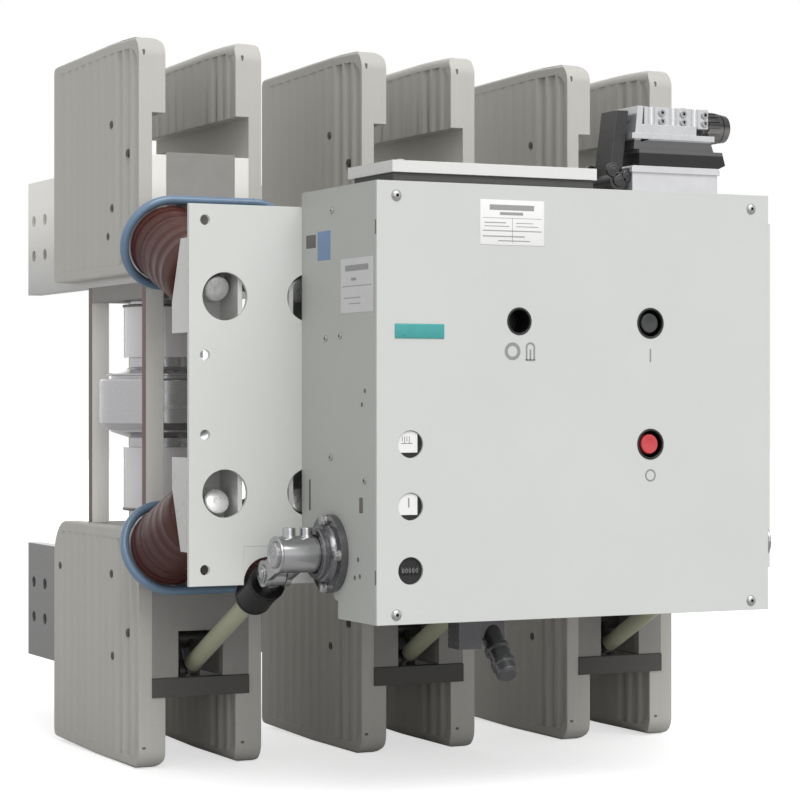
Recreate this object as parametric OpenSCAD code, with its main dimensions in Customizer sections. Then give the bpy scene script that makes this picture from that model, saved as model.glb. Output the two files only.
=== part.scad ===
// Three-pole vacuum circuit breaker with heat sinks, for fixed mounting.
// X runs along the front from left to right, Y from front to rear, Z up.
// The breaker stands on its lower heat sinks. Modules for the poles are drawn
// about the pole's own centre line, with heights counted from mid-height.

/* [Overall] */
// Distance between the centre lines of two poles
pole_pitch = 275; // [262:1:330]
// Height from the lower ends of the heat sinks to their upper ends
total_h = 816; // [800:1:980]

/* [Heat sinks] */
// Depth of a heat sink, front to rear
sink_depth = 298; // [285:1:360]
// Thickness of a heat sink at its head
sink_t = 31.5; // [28:0.5:40]
// Clear distance between the two heads of a pole
sink_gap = 85; // [78:1:100]
// Depth of the rebate that takes the terminal bar
rebate = 16; // [13:0.5:19]
// Height of the full-thickness head
head_h = 80; // [60:1:110]
// Height of an upper heat sink
sink_upper_h = 260; // [240:1:300]
// Height of a lower heat sink
sink_lower_h = 268; // [240:1:300]
// Radius of the head's front corner
sink_nose_r = 22; // [10:1:30]
// Radius of the head's rear corner
sink_heel_r = 10; // [4:1:20]
// Radius of the lower sink's upper rear corner
sink_shoulder_r = 46; // [10:1:60]
// Radius across a head's free end, on its inner side
sink_end_r = 12; // [4:1:14]
// Distance between two cooling flutes
flute_pitch = 25; // [22:0.5:32]
// Width of a cooling flute
flute_w = 20; // [12:0.5:21]
// Depth of the first flutes behind the front
flute_depth = 3; // [1.5:0.5:4]
// Length left plain at each end of a flute
flute_margin = 12; // [6:1:24]

/* [Terminals] */
// Thickness of a terminal bar
bar_t = 17; // [12:0.5:20]
// Height of a terminal bar
bar_h = 142; // [120:1:160]
// Length of bar that stands out behind the heat sink
bar_reach = 151; // [120:1:200]
// Distance from the heat sinks' upper ends down to the upper bars' centre
bar_upper_drop = 198; // [190:1:205]
// Distance from the heat sinks' lower ends up to the lower bars' centre
bar_lower_rise = 161; // [158:1:168]
// Spacing of the four bolt holes, both ways
hole_pitch = 44; // [38:1:50]
// Diameter of a terminal bolt hole
bar_hole_d = 14; // [11:0.5:18]
// Distance from the bar's rear end to its hole pattern's centre
hole_inset = 45; // [35:1:55]

/* [Pole supports] */
// Wall of the pole supports
casting_wall = 12; // [8:1:16]
// Depth of the pole supports, front to rear
support_depth = 226; // [215:1:260]
// Thickness of the upper support's flange
flange_t = 18; // [12:1:24]
// Width of the window in the lower support's front
window_w = 54; // [50:1:60]
// Clearance over the coupling rod in that window
window_clear = 16; // [12:1:22]
// Height of the cross beam under the lower support
beam_h = 21; // [15:1:26]

/* [Vacuum interrupter] */
// Distance from the heat sinks' front to the interrupter's axis
tube_y = 117; // [110:1:130]
// Diameter of the metal arcing chamber
chamber_d = 150; // [130:1:156]
// Height of the metal arcing chamber
chamber_h = 54; // [40:1:80]
// Diameter of the ceramic cylinders
ceramic_d = 94; // [80:1:110]
// Diameter of the metal necks
neck_d = 82; // [70:1:90]
// Height of each neck
neck_h = 14; // [8:1:20]
// Thickness of the chamber's end discs
disc_t = 11; // [6:1:14]
// Height of the lower end cap
cap_h = 19; // [10:1:30]
// Diameter of the moving contact's stem
stem_d = 30; // [24:1:36]

/* [Struts] */
// Width of a strut
strut_w = 21; // [16:1:26]
// Depth of a strut
strut_t = 12.7; // [8:0.1:16]
// Distance between the front and the rear struts, centre to centre
strut_pitch = 183; // [176:1:190]

/* [Insulators] */
// Angle of the insulators to the horizontal
tilt = 21; // [12:1:24]
// Distance from the pole's centre line to an insulator
insulator_x = 48.5; // [46:0.5:54]
// Insulator radius at the pole
insulator_r = 39; // [34:0.5:42]
// Insulator radius at the mounting plate
insulator_tip_r = 27; // [22:0.5:32]
// Number of ribs on an insulator
rib_count = 6; // [4:1:8]
// Height of a rib
rib_h = 3.5; // [2:0.5:5]
// Outer radius of the shield ring's round ends
ring_r = 55; // [52:0.5:60]
// Thickness of the shield ring
ring_t = 10; // [7:0.5:12]

/* [Mounting plate] */
// Distance from the heat sinks' front to the plate's front face
plate_y = 192; // [188:1:205]
// Thickness of the mounting plate
frame_t = 5; // [3:0.5:8]
// Width of the mounting plate
frame_w = 728; // [715:1:880]
// Height by which the heat sinks stand over the mounting plate, both ends together
frame_short = 414; // [400:1:436]
// Centre of the plate above mid-height
frame_z = 11; // [5:1:16]
// Diameter of the access holes
access_d = 51; // [46:1:56]
// Distance of the access holes from the plate's upper and lower edges
access_inset = 97; // [90:1:103]
// Diameter of the fixing holes
fixing_d = 11; // [9:0.5:14]
// Distance of the fixing holes from the plate's side edge
fixing_inset = 18; // [14:1:24]
// Distance of the outer fixing holes from the plate's upper and lower edges
fixing_edge = 17; // [12:1:25]
// Distance of the inner fixing holes from the plate's centre
fixing_inner_z = 42; // [30:1:60]
// Width of a rod notch in the plate's lower edge
notch_w = 54; // [52:1:60]
// Height of a notch over the coupling rod's centre line
notch_over = 38; // [36:0.5:50]

/* [Operating mechanism housing] */
// Width of the housing
box_w = 470; // [440:1:500]
// Height of the housing
box_h = 448; // [440:1:480]
// Depth of the housing with its cover
box_d = 186; // [180:1:200]
// Sheet thickness
sheet = 3; // [2:0.5:4]
// Centre of the housing above mid-height
box_z = 3; // [0:1:6]
// Diameter of the button openings
button_hole_d = 31; // [28:0.5:36]
// Diameter of a push-button
button_d = 21; // [16:0.5:24]
// Travel of a push-button
button_travel = 6; // [3:0.5:8]
// Diameter of the indicator windows
window_d = 28; // [24:0.5:32]
// Diameter of the crank opening
crank_hole_d = 27; // [24:0.5:32]

/* [Control plug] */
// Distance of the plug's middle to the right of the housing's middle
plug_x = 120.5; // [100:0.5:150]
// Width of the plug's socket
plug_w = 106; // [96:1:120]
// Depth of the socket, front to rear
plug_d = 56; // [50:1:62]
// Height of the socket with its rim
plug_socket_h = 27; // [22:1:34]
// Height of the sealing frame
plug_seal_h = 18; // [12:1:24]
// Height of the plug's hood
plug_hood_h = 46; // [40:1:56]
// Diameter of the cable gland
gland_d = 33; // [26:1:36]

/* [Drive linkage] */
// Diameter of the main shaft
shaft_d = 28; // [22:1:34]
// Distance from the heat sinks' front to the main shaft
shaft_y = 270; // [264:1:276]
// Distance of the main shaft below mid-height
shaft_z = 154; // [150:1:160]
// Length of a shaft lever
lever_len = 62; // [56:1:66]
// Angle of the levers below the horizontal
lever_angle = 22; // [16:1:28]
// Diameter of a coupling rod
rod_d = 20; // [16:1:24]
// Diameter of the moulded rod cap
rod_cap_d = 40; // [34:1:42]
// Diameter of the rod pins
pin_d = 12; // [8:1:14]
// Distance of the rod's rear pin behind the heat sinks' front
rod_pin_y = 46; // [40:1:52]
// Distance of the rod's rear pin above the heat sinks' lower ends
rod_pin_rise = 104; // [100:1:108]
// Length of the bell crank's rod arm
crank_arm = 40; // [36:1:44]

/* [Hidden] */
$fn = 48;
mid_z = total_h / 2;
centre_y = (sink_depth + bar_reach - plate_y - box_d) / 2;   // middle of the whole depth
fit = 0.05;          // running clearance of a shaft or pin
play = 0.5;          // side clearance between moving plates
poles = [-1, 0, 1];

bar_upper_z = mid_z - bar_upper_drop;
bar_lower_z = mid_z - bar_lower_rise;     // below mid-height
rod_pin_z = mid_z - rod_pin_rise;         // below mid-height
frame_h = total_h - frame_short;
access_z = frame_h / 2 - access_inset;
fixing_outer_z = frame_h / 2 - fixing_edge;

upper_foot_z = mid_z - sink_upper_h;      // lower end of the upper sinks
lower_top_z = -(mid_z - sink_lower_h);    // upper end of the lower sinks
head_z = mid_z - head_h;                  // inner end of the heads
bar_in = sink_gap / 2 + rebate - bar_t;   // inner face of a terminal bar
bar_out = sink_gap / 2 + rebate;          // outer face of a terminal bar
bar_len = sink_depth + bar_reach;
bar_foot_z = bar_upper_z - bar_h / 2;     // underside of the upper bars

strut_front_y = tube_y - strut_pitch / 2;
strut_rear_y = tube_y + strut_pitch / 2;
strut_x = bar_out - strut_w / 2;

flange_foot_z = bar_foot_z - flange_t;
tube_bottom_z = lower_top_z + cap_h;
tube_mid_z = 3;

plate_back_y = -plate_y + frame_t;
ring_y = -21;
ring_z = access_z + (plate_y + ring_y) * tan(tilt);

box_front_y = -plate_y - box_d;
box_bottom_z = box_z - box_h / 2;
box_top_z = box_z + box_h / 2;

// Main shaft, lever pin, rod pin and bell crank pivot, as [y, z]
shaft_at = [-shaft_y, -shaft_z];
lever_pin_at = shaft_at + lever_len * [cos(lever_angle), -sin(lever_angle)];
rod_pin_at = [rod_pin_y, -rod_pin_z];
rod_run = rod_pin_at - lever_pin_at;
rod_len = norm(rod_run);
rod_angle = atan2(rod_run[1], rod_run[0]);
crank_at = rod_pin_at + crank_arm * [-sin(rod_angle), cos(rod_angle)];
stem_foot_z = crank_at[1] + 10.3;
// Height of the rod's centre line at the distance y
function rod_z(y) = rod_pin_at[1] + (y - rod_pin_at[0]) * tan(rod_angle);

module at_mid() translate([0, -centre_y, mid_z]) children();
module at_pole(k) translate([k * pole_pitch, -centre_y, mid_z]) children();
module both_x() for (s = [0, 1]) mirror([s, 0, 0]) children();

// Extrudes a [y, z] outline along X, centred on X = 0
module across(w) rotate([90, 0, 90]) linear_extrude(w, center = true) children();
// A cylinder along X, centred on X = 0, through the point [y, z]
module x_rod(at, d, w) translate([0, at[0], at[1]]) rotate([0, 90, 0]) cylinder(d = d, h = w, center = true);
// A block given by its lowest corner and its highest corner
module block(a, b) translate(a) cube(b - a);

// ---- Poles ----

// Side outline of a heat sink in [y, z]
module sink_outline(upper) {
  if (upper) quarter_cut([0, upper_foot_z], [sink_depth, mid_z], [2, 8, sink_heel_r, sink_nose_r]);
  else quarter_cut([0, -mid_z], [sink_depth, lower_top_z], [sink_nose_r, sink_heel_r, sink_shoulder_r, 12]);
}

// Rectangle with each corner rounded by its own radius
module quarter_cut(a, b, r) difference() {
  translate(a) square(b - a);
  round_off(a, [1, 1], r[0]);
  round_off([b[0], a[1]], [-1, 1], r[1]);
  round_off(b, [-1, -1], r[2]);
  round_off([a[0], b[1]], [1, -1], r[3]);
}
module round_off(p, s, r) translate(p) mirror([s[0] < 0 ? 1 : 0, 0]) mirror([0, s[1] < 0 ? 1 : 0])
  difference() {
    translate([-1, -1]) square(r + 1);
    translate([r, r]) circle(r);
  }

// Front outline of a heat sink in [x, z], with the rebate for the terminal bar
module sink_face(upper) {
  a = sink_gap / 2;
  b = a + sink_t;
  difference() {
    if (upper) quarter_cut([a, upper_foot_z], [b, mid_z], [2, 3, 4, sink_end_r]);
    else quarter_cut([a, -mid_z], [b, lower_top_z], [sink_end_r, 4, 3, 2]);
    if (upper) translate([a - 1, upper_foot_z - 1]) square([rebate + 1, sink_upper_h - head_h + 1]);
    else translate([a - 1, -head_z]) square([rebate + 1, sink_lower_h - head_h + 1]);
  }
}

// Plan of the flutes in a face that looks towards +X; the first three are deeper
module flute_plan() {
  count = floor((sink_depth - 2 * 5) / flute_pitch);
  for (i = [0 : count - 1]) let (d = i < 3 ? flute_depth : 1, r = (flute_w * flute_w / 4 + d * d) / (2 * d))
    translate([0, 5 + flute_w / 2 + i * flute_pitch]) intersection() {
      translate([r - d, 0]) circle(r, $fn = 180);
      translate([-d - 1, -flute_w / 2 - 1]) square([d + 2, flute_w + 2]);
    }
}

module heat_sink(upper) {
  inner = sink_gap / 2;
  foot = upper ? upper_foot_z : -mid_z;
  top = upper ? mid_z : lower_top_z;
  difference() {
    intersection() {
      translate([inner + sink_t / 2, 0, 0]) across(sink_t + 2) sink_outline(upper);
      translate([0, sink_depth + 1, 0]) rotate([90, 0, 0]) linear_extrude(sink_depth + 2) sink_face(upper);
    }
    intersection() {
      translate([0, 0, foot]) linear_extrude(top - foot) {
        translate([inner + sink_t, 0]) flute_plan();
        translate([inner, 0]) mirror([1, 0]) flute_plan();
      }
      translate([inner + sink_t / 2, 0, 0]) across(sink_t + 20) flute_outline(upper);
    }
  }
}
// Side outline of the field that holds the flutes; its front corner follows the nose
module flute_outline(upper) {
  m = flute_margin;
  nose = sink_nose_r + m;
  if (upper) quarter_cut([-2, upper_foot_z + m], [sink_depth + 2, mid_z - m], [4, 4, 4, nose]);
  else quarter_cut([-2, m - mid_z], [sink_depth + 2, lower_top_z - m], [nose, 4, sink_shoulder_r, 4]);
}
module heat_sinks(k) color([0.72, 0.71, 0.68]) at_pole(k) both_x() {
  heat_sink(true);
  heat_sink(false);
}

module terminal_bar(z, front) difference() {
  block([bar_in, front, z - bar_h / 2], [bar_out, bar_len, z + bar_h / 2]);
  for (dy = [-1, 1], dz = [-1, 1])
    translate([bar_in - 1, bar_len - hole_inset + dy * hole_pitch / 2, z + dz * hole_pitch / 2])
      rotate([0, 90, 0]) cylinder(d = bar_hole_d, h = bar_t + 2);
}
module terminals(k) color([0.74, 0.73, 0.71]) at_pole(k) both_x() {
  terminal_bar(bar_upper_z, 0);
  terminal_bar(-bar_lower_z, casting_wall);
}

// Tilted pad that an insulator pair's base is bolted to. rz is the ring's height,
// and foot the lowest height at which the casting can carry the pad.
seat_back = ring_t / 2;
pad_gap = 0.2;
pad_y = ring_y + (seat_back + pad_gap) / cos(tilt);
function seat_y(z, rz) = pad_y - (z - rz) * tan(tilt);
module seat_pad(rz, foot) {
  low = max(foot, rz + (pad_y + 1) / tan(tilt));
  high = rz + ring_r * cos(tilt);
  across(2 * bar_in) polygon([[0, low], [seat_y(low, rz), low], [seat_y(high, rz), high], [0, high]]);
}

module upper_support(k) color([0.60, 0.59, 0.58]) at_pole(k) {
  top = bar_upper_z + bar_h / 2 + 3;
  difference() {
    block([-bar_in, 0, bar_foot_z], [bar_in, support_depth, top]);
    block([-bar_in + casting_wall, casting_wall, bar_foot_z + casting_wall],
          [bar_in - casting_wall, support_depth + 1, top + 1]);
  }
  seat_pad(frame_z + ring_z, bar_foot_z);
  block([-bar_out, strut_front_y + strut_t / 2, flange_foot_z], [bar_out, strut_rear_y - strut_t / 2, bar_foot_z]);
}

module lower_support(k) color([0.56, 0.55, 0.53]) at_pole(k) {
  bar_top = -bar_lower_z + bar_h / 2;
  beam_top = -head_z + beam_h;
  window_top = rod_z(0) + rod_d / 2 / cos(rod_angle) + window_clear;
  difference() {
    union() {
      block([-bar_out, 8, bar_top], [bar_out, support_depth, lower_top_z]);
      block([-bar_out, 0, beam_top], [bar_out, casting_wall, lower_top_z]);
      both_x() block([bar_in - casting_wall, 0, beam_top], [bar_in, support_depth - 20, bar_top + 1]);
    }
    block([-window_w / 2, -1, beam_top - 1], [window_w / 2, casting_wall + 1, window_top]);
    translate([0, tube_y, bar_top - 1]) cylinder(d = stem_d + 14, h = 60);
    x_rod(crank_at, pin_d + 2 * fit, 3 * bar_in);
  }
  block([-bar_out, -2, -head_z], [bar_out, casting_wall, beam_top]);
  mirror([0, 0, 1]) seat_pad(ring_z - frame_z, 1 - lower_top_z);
}

chamber_top = tube_mid_z + chamber_h / 2;
chamber_foot = tube_mid_z - chamber_h / 2;
upper_neck_z = chamber_top + disc_t;
lower_neck_z = chamber_foot - disc_t;
ceramic_top = flange_foot_z - 6;
module tube_part(d, a, b) translate([0, tube_y, a]) cylinder(d = d, h = b - a);

module interrupter_ceramics(k) color([0.86, 0.85, 0.85]) at_pole(k) {
  tube_part(ceramic_d, upper_neck_z + neck_h, ceramic_top);
  tube_part(ceramic_d, tube_bottom_z, lower_neck_z - neck_h);
}
// Half profile of the arcing chamber, its end discs and necks as [r, z]
module chamber_profile() {
  neck = neck_d / 2;
  chamber = chamber_d / 2;
  polygon([
    [0, lower_neck_z - neck_h], [neck, lower_neck_z - neck_h], [neck, lower_neck_z - 3],
    [chamber - 13, lower_neck_z + 4], [chamber - 13, lower_neck_z + 6], [chamber - 6, lower_neck_z + 6],
    [chamber, chamber_foot + 3], [chamber, chamber_top - 2], [chamber - 2, chamber_top],
    [chamber - 5, chamber_top], [chamber - 5, chamber_top - 3], [chamber - 14, chamber_top - 3],
    [chamber - 14, chamber_top + 4], [chamber - 8, chamber_top + 4], [chamber - 8, chamber_top + 6],
    [neck + 4, upper_neck_z], [neck + 1, upper_neck_z + 3], [neck, upper_neck_z + 3],
    [neck, upper_neck_z + neck_h], [0, upper_neck_z + neck_h]
  ]);
}
module interrupter_metal(k) color([0.62, 0.61, 0.63]) at_pole(k) {
  tube_part(neck_d, ceramic_top, flange_foot_z);
  translate([0, tube_y, 0]) rotate_extrude() chamber_profile();
  tube_part(neck_d, lower_top_z, tube_bottom_z);
  tube_part(stem_d, stem_foot_z, lower_top_z + 1);
}

module struts() color([0.70, 0.68, 0.64]) for (k = poles) at_pole(k) both_x()
  for (y = [strut_front_y, strut_rear_y])
    block([strut_x - strut_w / 2, y - strut_t / 2, lower_top_z], [strut_x + strut_w / 2, y + strut_t / 2, bar_foot_z]);

// ---- Insulators and mounting plate ----

// Places children on the upper insulators' axis: +Z runs from the pole to the plate
module on_axis(x) translate([x, ring_y, ring_z]) rotate([90 + tilt, 0, 0]) children();
module both_levels() {
  translate([0, 0, frame_z]) children();
  translate([0, 0, frame_z]) mirror([0, 0, 1]) children();
}
tip = (plate_y + ring_y - 51) / cos(tilt);   // insulator length from the ring's plane to the seat
base_t = 13;

module insulator() {
  step = (tip - base_t + seat_back) / (rib_count + 0.5);
  rotate_extrude() polygon(concat(
    [[0, -seat_back], [insulator_r + 3, -seat_back], [insulator_r + 3, base_t - seat_back]],
    [for (i = [0 : rib_count - 1], j = [0 : 3])
      let (z = base_t - seat_back + (i + [0.25, 0.55, 0.75, 1][j]) * step,
           r = insulator_r - (insulator_r - insulator_tip_r) * (z / tip))
      [r + [-rib_h, 0, 0, -rib_h][j], z]],
    [[insulator_tip_r - 1, tip], [0, tip]]));
}
module insulators(k) color([0.36, 0.20, 0.17]) at_pole(k) both_levels()
  for (x = [-insulator_x, insulator_x]) on_axis(x) insulator();

module shield_ring() {
  mid = ring_r - ring_t / 2;
  for (s = [-1, 1]) translate([s * insulator_x, 0, 0]) rotate([0, 0, s * 90 - 180])
    rotate_extrude(angle = 180) translate([mid, 0]) circle(d = ring_t);
  for (s = [-1, 1]) translate([0, s * mid, 0]) rotate([0, 90, 0]) cylinder(d = ring_t, h = 2 * insulator_x, center = true);
}
module shield_rings() color([0.42, 0.53, 0.62]) for (k = poles) at_pole(k) both_levels()
  on_axis(0) shield_ring();

// Wedge-shaped seat between the plate and an insulator's front end
seat_w = 58;
seat_wall = 5;
module insulator_seat() {
  near_z = access_z - 38;
  far_z = access_z + 62;
  knee_z = access_z - 5;
  face_y = function (z) ring_y - tip * cos(tilt) - (z - ring_z + tip * sin(tilt)) * tan(tilt);
  difference() {
    across(seat_w) polygon([[plate_back_y, near_z], [face_y(knee_z), near_z], [face_y(knee_z), knee_z],
                            [face_y(far_z), far_z], [plate_back_y, far_z]]);
    across(seat_w - 2 * seat_wall)
      polygon([[plate_back_y - 1, near_z + seat_wall], [face_y(knee_z) - seat_wall, near_z + seat_wall],
               [face_y(knee_z) - seat_wall, knee_z], [face_y(far_z) - seat_wall, far_z - seat_wall],
               [plate_back_y - 1, far_z - seat_wall]]);
  }
}
module insulator_seats() color([0.80, 0.80, 0.78]) for (k = poles) at_pole(k) both_levels() both_x() {
  translate([insulator_x + 7.5, 0, 0]) insulator_seat();
  on_axis(insulator_x) translate([0, 0, tip + seat_wall - 1]) cylinder(d = 27, h = 26);
}

module mounting_plate() color([0.82, 0.83, 0.82]) at_mid() translate([0, 0, frame_z]) difference() {
  block([-frame_w / 2, -plate_y, -frame_h / 2], [frame_w / 2, plate_back_y, frame_h / 2]);
  for (k = poles) translate([k * pole_pitch, 0, 0]) {
    for (x = [-insulator_x, insulator_x], z = [-access_z, access_z]) plate_hole(x, z, access_d);
    block([-notch_w / 2, -plate_y - 1, -frame_h / 2 - 1],
          [notch_w / 2, plate_back_y + 1, rod_z(-plate_y) + notch_over - frame_z]);
  }
  for (s = [-1, 1], z = [-fixing_outer_z, -fixing_inner_z, fixing_inner_z, fixing_outer_z])
    plate_hole(s * (frame_w / 2 - fixing_inset), z, fixing_d);
}
module plate_hole(x, z, d) translate([x, plate_back_y + 1, z]) rotate([90, 0, 0]) cylinder(d = d, h = frame_t + 2);

// ---- Housing ----

// Side outline of the housing in [y, z]; the lower rear corner is cut away
cut_y = plate_y + 93;
cut_z = box_bottom_z + 72;
module box_outline(inset) {
  front = box_front_y + sheet;
  difference() {
    translate([front, box_bottom_z + inset]) square([-plate_y - inset - front, box_h - 2 * inset]);
    translate([-cut_y + inset, box_bottom_z - 1]) square([200, 20]);
    translate([-cut_y + inset, box_bottom_z + 18])
      polygon([[0, 0], [6, 0], [18, 18], [93, cut_z - box_bottom_z - 18], [120, 60], [120, 0]]);
  }
}
module housing() color([0.61, 0.62, 0.60]) at_mid() difference() {
  across(box_w) box_outline(0);
  across(box_w - 2 * sheet) union() {
    box_outline(sheet);
    translate([box_front_y, box_bottom_z + sheet]) square([sheet + 5, box_h - 2 * sheet]);
    translate([-cut_y + 4, box_bottom_z + 20]) square([cut_y - plate_y - 4 - sheet, 60]);
    translate([-cut_y + 4, box_bottom_z + 20]) square([cut_y - plate_y, cut_z - box_bottom_z - 20]);
  }
  x_rod(shaft_at, shaft_d + 6, box_w + 10);
}

// Openings in the cover, as [x, z]
on_at = [86, 87];
off_at = [86, -41];
crank_hole_at = [-72, 87];
indicator_at = [[-197, -39], [-197, -102], [-197, -167]];
module cover_hole(p, d) translate([p[0], box_front_y - 1, p[1]]) rotate([-90, 0, 0]) cylinder(d = d, h = sheet + 2);
module front_cover() color([0.83, 0.84, 0.82]) at_mid() difference() {
  block([-box_w / 2, box_front_y, box_bottom_z], [box_w / 2, box_front_y + sheet, box_top_z]);
  cover_hole(on_at, button_hole_d);
  cover_hole(off_at, button_hole_d);
  cover_hole(crank_hole_at, crank_hole_d);
  for (p = indicator_at) cover_hole(p, window_d);
}

// Places children at [x, z] on the cover's rear face, with +Z running inwards
module behind_cover(p) translate([p[0], box_front_y + sheet, p[1]]) rotate([-90, 0, 0]) children();
button_len = 14;
sleeve_depth = button_len + button_travel + 10;
module sleeve() difference() {
  cylinder(d = button_hole_d + 4, h = sleeve_depth);
  translate([0, 0, -1]) cylinder(d = button_hole_d, h = sleeve_depth - 4);
  translate([0, 0, -1]) cylinder(d = 8 + 2 * fit, h = sleeve_depth + 2);
}
module button_sleeves() color([0.10, 0.10, 0.11]) at_mid() for (p = [on_at, off_at]) behind_cover(p) sleeve();
module button() {
  cylinder(d = button_d, h = button_len);
  cylinder(d = 8, h = sleeve_depth + 6);
}
module on_button() color([0.22, 0.23, 0.25]) at_mid() behind_cover(on_at) button();
module off_button() color([0.80, 0.15, 0.18]) at_mid() behind_cover(off_at) button();

module indicator_faces() color([0.88, 0.88, 0.86]) at_mid()
  for (p = indicator_at) behind_cover(p) cylinder(d = window_d + 6, h = 3);
module crank_socket() color([0.08, 0.08, 0.09]) at_mid() behind_cover(crank_hole_at) {
  difference() {
    cylinder(d = crank_hole_d + 6, h = 32);
    translate([0, 0, -1]) cylinder(d = crank_hole_d, h = 30);
  }
  translate([0, 0, 22]) cylinder(d = 12, h = 9);
}

// Raised tray on the housing's top
module top_tray() color([0.86, 0.86, 0.85]) at_mid() {
  difference() {
    block([-217, box_front_y + 1, box_top_z + 9], [21, box_front_y + 108, box_top_z + 21]);
    block([-214, box_front_y + 4, box_top_z + 8], [18, box_front_y + 105, box_top_z + 18]);
  }
  block([-213, box_front_y + 10, box_top_z], [17, box_front_y + 100, box_top_z + 19]);
}

// ---- Control plug on the housing's top ----
plug_y = box_front_y + 6 + plug_d / 2;
plug_seal_z = plug_socket_h + plug_seal_h;   // heights over the housing's top
plug_top_z = plug_seal_z + plug_hood_h;

// Extrudes an outline in [x, z] from front to rear; x from the plug's middle, z from the housing's top
module plug_slab(d) at_mid() translate([plug_x, plug_y + d / 2, box_top_z]) rotate([90, 0, 0])
  linear_extrude(d) children();
module slab(x0, x1, z0, z1) translate([x0, z0]) square([x1 - x0, z1 - z0]);

module plug_socket() color([0.80, 0.80, 0.81]) {
  half = plug_w / 2;
  plug_slab(plug_d) slab(-half, half, 0, plug_socket_h - 6);
  plug_slab(plug_d + 4) difference() {
    slab(-half - 2, half + 2, plug_socket_h - 7, plug_socket_h);
    for (s = [-1, 1]) translate([s * (half + 2), plug_socket_h]) rotate(45) square(3, center = true);
  }
}
module plug_seal() color([0.13, 0.13, 0.14]) plug_slab(plug_d - 2)
  polygon([[9 - plug_w / 2, plug_socket_h], [plug_w / 2 + 2, plug_socket_h], [plug_w / 2 + 11, plug_socket_h + 4],
           [plug_w / 2 + 7, plug_seal_z], [9 - plug_w / 2, plug_seal_z]]);
rib_pitch = 27;
module plug_hood() color([0.70, 0.70, 0.71]) {
  left = 10 - plug_w / 2;
  right = plug_w / 2 - 2;
  plate_z = plug_seal_z + 11;
  plug_slab(plug_d - 8) {
    polygon([[left, plug_seal_z], [right, plug_seal_z], [right - 4, plate_z], [left + 14, plate_z], [left, plate_z - 4]]);
    polygon([[left - 6, plug_seal_z], [left + 2, plug_seal_z], [left + 6, plug_top_z], [left - 1, plug_top_z]]);
  }
  plug_slab(plug_d - 4) slab(left - 9, right, plate_z, plate_z + 6);
  plug_slab(plug_d - 10) slab(left + 2, right - 21, plate_z + 6, plate_z + 16);
  at_mid() translate([plug_x, plug_y, box_top_z + plate_z + 14]) linear_extrude(plug_top_z - plate_z - 14) difference() {
    translate([left + 9, 7 - plug_d / 2]) square([right - left - 14, plug_d - 14]);
    for (i = [-1 : 1], s = [-1, 1]) translate([2 + i * rib_pitch, s * (plug_d / 2 - 5)]) circle(d = 10);
  }
}
// Locking lever at the plug's left end
module plug_lever() color([0.33, 0.33, 0.35]) {
  foot = -plug_w / 2 - 15;
  plug_slab(plug_d - 24) polygon([[foot - 7, 12], [foot + 8, 12], [foot + 17, plug_top_z - 5], [foot + 3, plug_top_z - 5]]);
  plug_slab(plug_d - 10) translate([foot + 1, 10]) circle(d = 20);
}
module cable_gland() color([0.07, 0.07, 0.08]) at_mid()
  translate([plug_x + plug_w / 2 - 7, plug_y, box_top_z + plug_top_z - gland_d / 2 - 1]) rotate([0, 90, 0]) difference() {
    union() {
      cylinder(d = gland_d - 11, h = 6);
      translate([0, 0, 5]) cylinder(d = gland_d, h = 18);
      translate([0, 0, 22]) cylinder(d = gland_d - 4, h = 4);
    }
    translate([0, 0, 12]) cylinder(d = gland_d - 14, h = 15);
  }

// Damper that leans out of the housing's underside towards the front, at [x, y]
damper_at = [-73, box_front_y + 70];
module damper() color([0.55, 0.55, 0.56]) at_mid() {
  translate([damper_at[0], damper_at[1], box_bottom_z - 11]) rotate([135, 0, 0]) rotate_extrude()
    polygon([[0, 0], [11, 0], [11, 30], [13.5, 31], [13.5, 36], [11.5, 37], [11.5, 50], [13.5, 51], [13.5, 56],
             [12, 57], [12, 66], [9, 69], [0, 69]]);
  block([damper_at[0] - 14, damper_at[1] - 14, box_bottom_z - 25], [damper_at[0] + 14, damper_at[1] + 14, box_bottom_z]);
  block([damper_at[0] - 50, damper_at[1] - 34, box_bottom_z - 32], [damper_at[0] - 24, damper_at[1] - 8, box_bottom_z]);
}

// ---- Drive linkage ----
fork_gap = 17;
fork_t = 6;
hub_d = 38;
module lever(x) translate([x, 0, 0]) difference() {
  union() {
    x_rod(shaft_at, hub_d, 2 * (shaft_end - pole_pitch) - 4);
    arm(shaft_at, lever_pin_at, 28, fork_gap + 2 * fork_t);
  }
  translate([0, shaft_at[0], shaft_at[1]]) rotate([-lever_angle, 0, 0])
    translate([-fork_gap / 2, hub_d / 2 + 2, -20]) cube([fork_gap, lever_len, 40]);
  x_rod(lever_pin_at, pin_d + 2 * fit, 60);
}
// Flat arm from the middle of a hub at p to a round end at q; its web is narrower than that end
web_share = 0.75;
module arm(p, q, d, w) across(w) {
  v = q - p;
  translate(q) circle(d = d);
  translate(p) rotate(atan2(v[1], v[0])) translate([0, -web_share * d / 2]) square([norm(v), web_share * d]);
}
shaft_end = pole_pitch + 27;
module main_shaft() color([0.68, 0.68, 0.69]) at_mid() {
  x_rod(shaft_at, shaft_d, 2 * shaft_end);
  for (k = poles) lever(k * pole_pitch);
}
module shaft_bearings() color([0.50, 0.50, 0.51]) at_mid() both_x() translate([box_w / 2, 0, 0]) difference() {
  union() {
    translate([4, 0, 0]) x_rod(shaft_at, 82, 8);
    translate([8.5, 0, 0]) x_rod(shaft_at, 50, 5);
  }
  x_rod(shaft_at, shaft_d + 2 * fit, 60);
}

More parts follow.
